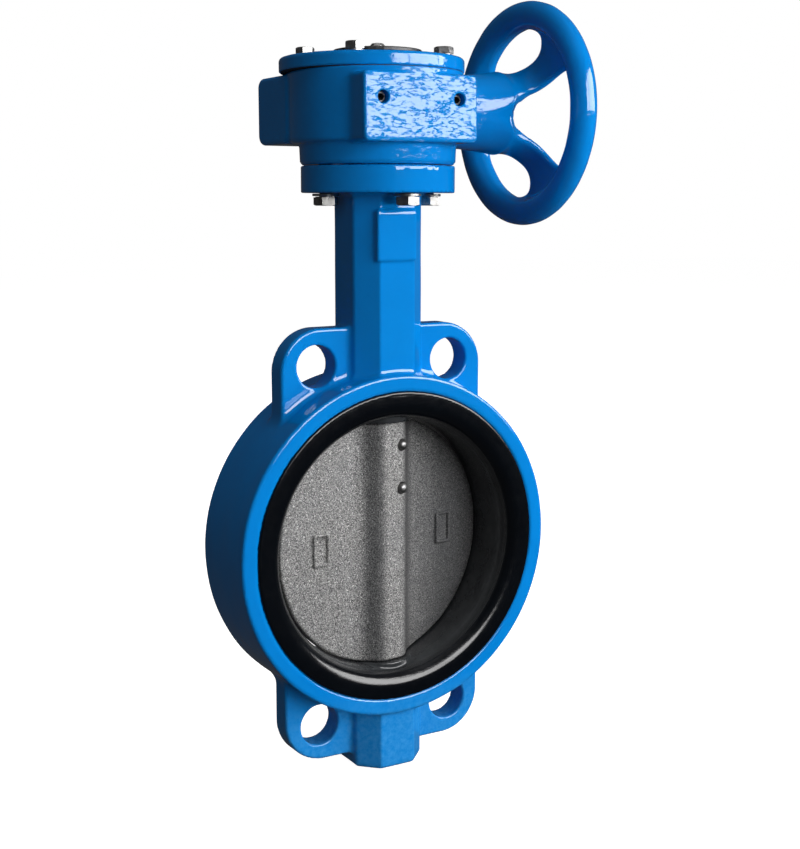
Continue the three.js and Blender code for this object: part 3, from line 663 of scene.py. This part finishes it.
def gear_room(x, y, z):
    """The hollow for the sector gear and the worm, with the bores for the bearings and the seal."""
    rs = np.hypot(x, y)
    room = np.minimum(np.maximum(rs - SECTOR_ROOM_R, SECTOR_ROOM_BACK - y), rs - SECTOR_HUB_ROOM_R)
    worm = profile(x, y, [
        (-WORM_ROOM_HALF_X, WORM_ROOM_NEAR), (WORM_ROOM_HALF_X, WORM_ROOM_NEAR),
        (WORM_ROOM_HALF_X, WORM_ROOM_FAR), (-WORM_ROOM_HALF_X, WORM_ROOM_FAR),
    ])
    room = np.maximum(np.minimum(room, worm), ROOM_FLOOR - z)
    room = np.minimum(room, slab(rs - STEM_HOLE_R, z, 220, 255))
    ry = np.hypot(y - WORM_Y, z - WORM_Z)
    room = np.minimum(room, slab(ry - LEFT_BORE_R, x, -44.4, 20))
    room = np.minimum(room, slab(ry - RIGHT_BORE_R, x, 19, 53.4))
    return np.minimum(room, slab(ry - END_BORE_R, x, 53, 80))


def housing_shell(x, y, z):
    """The foot, the drum and its rear, the limit-stop block and the worm tunnel."""
    rs = np.hypot(x, y)
    foot = profile(rs, z, [(0, 229.3), (44.6, 229.3), (45.6, 230.6), (46.2, 246), (0, 246)], 0.8)
    drum = slab(rs - DRUM_R, z, 241, 290, DRUM_EDGE)
    rear = slab(disc_at(x, y, 0, 9, 50.0), z, 242, 290, DRUM_EDGE)
    block_plan = rounded_rect(x, z - BLOCK_Z, BLOCK_HALF_X, BLOCK_HALF_Z, 3.0)
    block = slab(block_plan, y - BLOCK_DRAFT * (z - 241), BLOCK_FRONT, -20, 1.7)
    tunnel = slab(rounded_rect(y - 40.8, z - 261, 20.8, 20, 6), x, -50, 57, 2.6)
    d = smin(smin(drum, rear, 3.0), foot, 2.4)
    d = smin(d, block, 1.4)
    return smin(d, tunnel, 2.2)


def housing_field(x, y, z):
    d = smax(housing_shell(x, y, z), z - SEAM, 0.7)
    d = smax(d, -gear_room(x, y, z), 0.6)
    for sx in (-STOP_X, STOP_X):
        hole = np.hypot(x - sx, z - WORM_Z) - STOP_HOLE_R
        d = smax(d, -np.maximum(hole, y), 0.7)
    for i, (bx, by) in enumerate(COVER_BOLTS):
        d = smax(d, -slab(disc_at(x, y, *flange_bolt_place(i), 4.2), z, 220, 243), 0.3)
        d = smax(d, -slab(disc_at(x, y, bx, by, 3.2), z, 277, 300), 0.3)
    rough = np.clip((-y - 20) / 25, 0.2, 1)
    return d + 0.035 * rough * waves(x, y, z, 13, 5)


def gear_housing():
    ob = cast("gear_housing_casting", housing_field, (-53, -55, 226), (60, 64, 284.5), 0.85)
    piece(ob, "housing", PAINT_ROUGH, "paint", "gear_housing")


def cover_field(x, y, z):
    rs = np.hypot(x, y)
    d = slab(np.hypot(x, y - COVER_Y) - COVER_R, z, 276, COVER_TOP, COVER_EDGE)
    d = smax(d, COVER_LOW - z, 0.5)
    d = smin(d, slab(rs - DIAL_SEAT_R, z, 286, DIAL_SEAT_TOP, 0.6), 1.0)
    for bx, by in COVER_BOLTS:
        d = smax(d, -disc_at(x, y, bx, by, COVER_HOLE_R), 0.4)
    d = smax(d, DIAL_BORE_R - rs, 0.4)
    return d + 0.05 * waves(x, y, z, 14, 11)


def housing_cover():
    ob = cast("housing_cover_casting", cover_field, (-57.7, -50.3, 280.63), (57.7, 64.7, 294.5), 0.82)
    piece(ob, "housing", PAINT_ROUGH, "paint", "housing_cover")


# ---------------------------------------------------------------- fasteners
FLANGE_BOLT_SEAT, COVER_BOLT_SEAT = 210.0, 291.0


def hex_radius(angle, across):
    """How far a hexagon reaches at an angle from one of its corners."""
    return across / 2 / math.cos(angle % math.radians(60) - math.radians(30))


def head_rings(across, head, washer_face, count=72):
    """Rings of (radius, angle, height) from a bolt's washer face to the hollow in its crown."""
    flat = across / 2
    angles = [2 * math.pi * i / count for i in range(count)]
    corners = [hex_radius(a, across) for a in angles]

    def circle(scale, height):
        return [(flat * scale, a, height) for a in angles]

    def crown_height(r):
        """The crown's cone cuts the corners lower than the flats."""
        return min(head - 0.05, head - (r - flat) * 0.55 - 0.15)

    return [
        circle(0.955, 0.0),
        circle(0.96, washer_face),
        [(r, a, washer_face) for r, a in zip(corners, angles)],
        [(r, a, crown_height(r)) for r, a in zip(corners, angles)],
        circle(0.9, head),
        circle(0.62, head),
        circle(0.56, head - 0.25),
    ]


def thread_rings(shank_r, length, pitch, count=36):
    """Rings of (radius, angle, height) down a shank: plain under the head, threaded, thin at the end."""
    steps = max(2, int(length / (pitch / 4)))
    rings = []
    for k in range(steps + 1):
        z = -length * k / steps
        ring = []
        for i in range(count):
            phase = (z / pitch + i / count) % 1.0
            depth = 0.5 * pitch * (1 - abs(2 * phase - 1)) if z < -0.6 else 0.0
            r = shank_r - 0.62 * depth if z > -length + 0.7 else shank_r * 0.84
            ring.append((r, 2 * math.pi * i / count, z))
        rings.append(ring)
    return rings


def closed_rings(bm, rings, end_height):
    """Joins rings of (radius, angle, height), closes the first with one face and the last with a fan."""
    made = []
    for ring in rings:
        made.append([bm.verts.new((r * math.cos(a) * MM, r * math.sin(a) * MM, h * MM)) for r, a, h in ring])
    count = len(made[0])
    for lower, upper in zip(made, made[1:]):
        for i in range(count):
            j = (i + 1) % count
            bm.faces.new((lower[i], lower[j], upper[j], upper[i]))
    tip = bm.verts.new((0, 0, end_height * MM))
    for i in range(count):
        bm.faces.new((made[-1][i], made[-1][(i + 1) % count], tip))
    bm.faces.new(made[0])


def hex_bolt(name, across, head, shank_r, shank_length, washer_face=0.4, pitch=1.25):
    """A hex head from z=0 up with a threaded shank below it."""
    bm = bmesh.new()
    closed_rings(bm, head_rings(across, head, washer_face), head - 0.25)
    closed_rings(bm, thread_rings(shank_r, shank_length, pitch), -shank_length)
    bmesh.ops.recalc_face_normals(bm, faces=bm.faces)
    return finished(name, bm, 28)


def flange_fastener(i):
    """A bolt pushed up through the flange, with its washer."""
    x, y = flange_bolt_place(i)
    outline = [(4.5, 210.25), (7.8, 210.25), (8.0, 210.45), (8.0, 211.5), (7.8, 211.7), (4.5, 211.7)]
    washer = lathe(f"flange_washer_plate_{i + 1}", "z", outline, (x, y, 0), 56)
    piece(washer, "housing", ZINC, "steel", f"flange_washer_{i + 1}")
    bolt = hex_bolt(f"flange_bolt_hex_{i + 1}", 13, 5.3, 4, 31.5)
    place(bolt, math.radians(12 + 17 * i), (x, y, FLANGE_BOLT_SEAT), True)
    piece(bolt, "housing", ZINC, "steel", f"flange_bolt_{i + 1}")


def cover_fastener(i):
    bolt = hex_bolt(f"cover_bolt_hex_{i + 1}", 10, 5.5, 2.95, 12, 1.4, 1.0)
    place(bolt, math.radians(8 + 21 * i), (*COVER_BOLTS[i], COVER_BOLT_SEAT))
    piece(bolt, "housing", ZINC, "steel", f"cover_bolt_{i + 1}")


# ---------------------------------------------------------------- handwheel
RIM_R, RIM_TUBE_R, RIM_REACH = 64.55, 8.35, 7.75
WEB_START_R, WEB_START_X, WEB_RISE, WEB_CURVE, WEB_HALF = 20.7, -23.2, 28.6, 4.8, 2.5
OPENING_TURN, OPENING_OUTER_R, OPENING_CORNER_R, SPOKE_HALF = -6.6, 57.6, 25.7, 11.3
WHEEL_HUB_R, WHEEL_HUB_FACE, WHEEL_HUB_BACK = 22.3, -28.5, -72.5
COLLAR_R, COLLAR_FACE, WHEEL_BORE_R = 15.5, -18.4, 8.12


def wheel_opening(y, z, turn):
    """A rounded three-sided opening: two spokes' sides and an outer arc."""
    u = y * math.cos(turn) + z * math.sin(turn)
    v = np.abs(-y * math.sin(turn) + z * math.cos(turn))
    side = v * 0.5 - u * math.sin(math.pi / 3) + SPOKE_HALF + OPENING_CORNER_R
    outer = np.hypot(u, v) - OPENING_OUTER_R + OPENING_CORNER_R
    inside = np.minimum(np.maximum(side, outer), 0)
    return inside - OPENING_CORNER_R + np.hypot(np.maximum(side, 0), np.maximum(outer, 0))


def wheel_web(x, y, z, r):
    """The dished web, which rises steeply at the hub and flattens toward the rim."""
    span = RIM_R - WEB_START_R
    t = np.clip((r - WEB_START_R) / span, 0, 1)
    middle = WEB_START_X + WEB_RISE * (1 - (1 - t) ** WEB_CURVE)
    slope = WEB_RISE * WEB_CURVE * (1 - t) ** (WEB_CURVE - 1) / span * (t > 0)
    web = np.abs(x - middle) / np.sqrt(1 + slope ** 2) - WEB_HALF
    web = smax(web, r - RIM_R, 2.0)
    hole = wheel_opening(y, z, math.radians(OPENING_TURN))
    for k in (1, 2):
        hole = np.minimum(hole, wheel_opening(y, z, math.radians(OPENING_TURN + 120 * k)))
    return smax(web, -hole, 3.0)


def wheel_field(px, py, pz):
    x, y, z = px - WHEEL_X, WORM_Y - py, pz - WORM_Z
    r = np.hypot(y, z)
    rim = np.hypot(r - RIM_R, x) - RIM_TUBE_R
    hub = smax(r - WHEEL_HUB_R, np.maximum(x - WHEEL_HUB_FACE, WHEEL_HUB_BACK - x), 1.2)
    collar = smax(r - COLLAR_R, np.maximum(x - COLLAR_FACE, -40 - x), 1.5)
    d = smin(wheel_web(x, y, z, r), hub, 19.7)
    d = smin(d, rim, 7.0)
    d = np.minimum(d, collar)
    d = smax(d, WHEEL_BORE_R - r, 0.5)
    d = smax(d, x - RIM_REACH, 1.0)
    return d + 0.08 * waves(px, py, pz, 16, 17)


def handwheel():
    ob = cast("handwheel_casting", wheel_field, (59.85, -35.5, 188.5), (146, 117, 340), 1.02)
    piece(ob, "handwheel", PAINT_WHEEL, "paint", "handwheel")


# ---------------------------------------------------------------- studio (metres)
CAMERA_TURN, CAMERA_RISE = math.radians(-30.372), math.radians(9.168)
CAMERA_AT, CAMERA_LENS = (-0.4104, -0.7266, 0.2063), 58.2
OBJECT_MIDDLE = (0, 0, 0.1)
KEY_TURN, KEY_FAR, PANES_NEARER = math.radians(33), 1.63, 0.03
KEY_ALONG = Vector((math.cos(KEY_TURN), math.sin(KEY_TURN), 0))
KEY_OUT = Vector((math.sin(KEY_TURN), -math.cos(KEY_TURN), 0))
PANES = (("left", -1.18, -0.51), ("middle", -0.46, 0.77), ("right", 0.82, 1.23))
FLOOR_Z = -0.1428


def camera():
    back = Vector((
        math.sin(CAMERA_TURN) * math.cos(CAMERA_RISE),
        -math.cos(CAMERA_TURN) * math.cos(CAMERA_RISE),
        math.sin(CAMERA_RISE),
    ))
    data = bpy.data.cameras.new("camera")
    data.lens = CAMERA_LENS
    data.sensor_width = 36
    data.sensor_fit = "AUTO"
    data.clip_start = 0.02
    ob = bpy.data.objects.new("camera", data)
    bpy.context.scene.collection.objects.link(ob)
    ob.location = CAMERA_AT
    ob.rotation_euler = back.to_track_quat("Z", "Y").to_euler()
    bpy.context.scene.camera = ob


def area(name, at, target, size, power):
    light = bpy.data.lights.new(name, "AREA")
    light.shape = "RECTANGLE"
    light.size, light.size_y = size
    light.energy = power
    ob = bpy.data.objects.new(name, light)
    bpy.context.scene.collection.objects.link(ob)
    ob.location = at
    ob.rotation_euler = (Vector(at) - Vector(target)).to_track_quat("Z", "Y").to_euler()
    return ob


def window(name, left, right, low, high, radiance, nearer=0.0):
    """A pane of the key light: it faces the object from the right, between two heights."""
    sideways = KEY_ALONG * (left + right) / 2
    middle = KEY_OUT * (KEY_FAR - nearer) + sideways + Vector((0, 0, (low + high) / 2))
    power = radiance * math.pi * (right - left) * (high - low)
    return area(name, middle, middle - KEY_OUT, (right - left, high - low), power)


def lights():
    """One set of lights gives the shading and another, with gaps and higher up, gives the reflections."""
    window("key", -1.18, 1.23, -0.25, 1.05, 5.6).visible_glossy = False
    for name, left, right in PANES:
        window(f"pane_{name}", left, right, 0.30, 1.32, 10.0, PANES_NEARER).visible_diffuse = False
    overhead, overhead_size = (0.25, -0.35, 1.75), (1.7, 1.3)
    area("ceiling", overhead, OBJECT_MIDDLE, overhead_size, 12).visible_glossy = False
    area("skylight", overhead, OBJECT_MIDDLE, overhead_size, 44).visible_diffuse = False
    area("fill", (-1.2, -1.1, 0.55), OBJECT_MIDDLE, (1.2, 1.2), 3.4).visible_glossy = False
    area("rear", (0.7, 1.5, 0.9), OBJECT_MIDDLE, (1.4, 1.4), 9).visible_glossy = False


def unlit(name, glow, shade=0.0):
    """A material that shows the camera one flat grey."""
    material = bpy.data.materials.new(name)
    material.use_nodes = True
    b = material.node_tree.nodes["Principled BSDF"]
    b.inputs["Base Color"].default_value = (shade, shade, shade, 1)
    b.inputs["Specular IOR Level"].default_value = 0.0
    b.inputs["Roughness"].default_value = 1.0
    b.inputs["Emission Color"].default_value = (glow, glow, glow, 1)
    b.inputs["Emission Strength"].default_value = 1.0
    return material


def stage_piece(name, bm, material, smooth_angle=35):
    """Part of the stage, seen by the camera only."""
    ob = finished(name, bm, smooth_angle)
    ob.data.materials.append(material)
    ob.visible_diffuse = False
    ob.visible_glossy = False
    ob.visible_transmission = False
    ob.visible_volume_scatter = False
    ob.visible_shadow = False


def stage():
    bm = bmesh.new()
    under = Matrix.Translation((0, 0, FLOOR_Z))
    bmesh.ops.create_grid(bm, x_segments=8, y_segments=8, size=6, matrix=under)
    stage_piece("floor", bm, unlit("floor", 0.975, 0.5))
    bm = bmesh.new()
    bmesh.ops.create_icosphere(bm, subdivisions=3, radius=9)
    stage_piece("backdrop", bm, unlit("backdrop", 1.0), 180)
    world = bpy.data.worlds.new("world")
    bpy.context.scene.world = world
    world.use_nodes = True
    background = world.node_tree.nodes["Background"]
    background.inputs[0].default_value = (1, 1, 1, 1)
    background.inputs[1].default_value = 0.04
    bpy.context.scene.view_settings.view_transform = "Standard"


dress_nodes()
valve_body()
seat_liner()
valve_disc()
taper_pins()
gear_housing()
housing_cover()
for number in range(4):
    flange_fastener(number)
    cover_fastener(number)
handwheel()
camera()
lights()
stage()
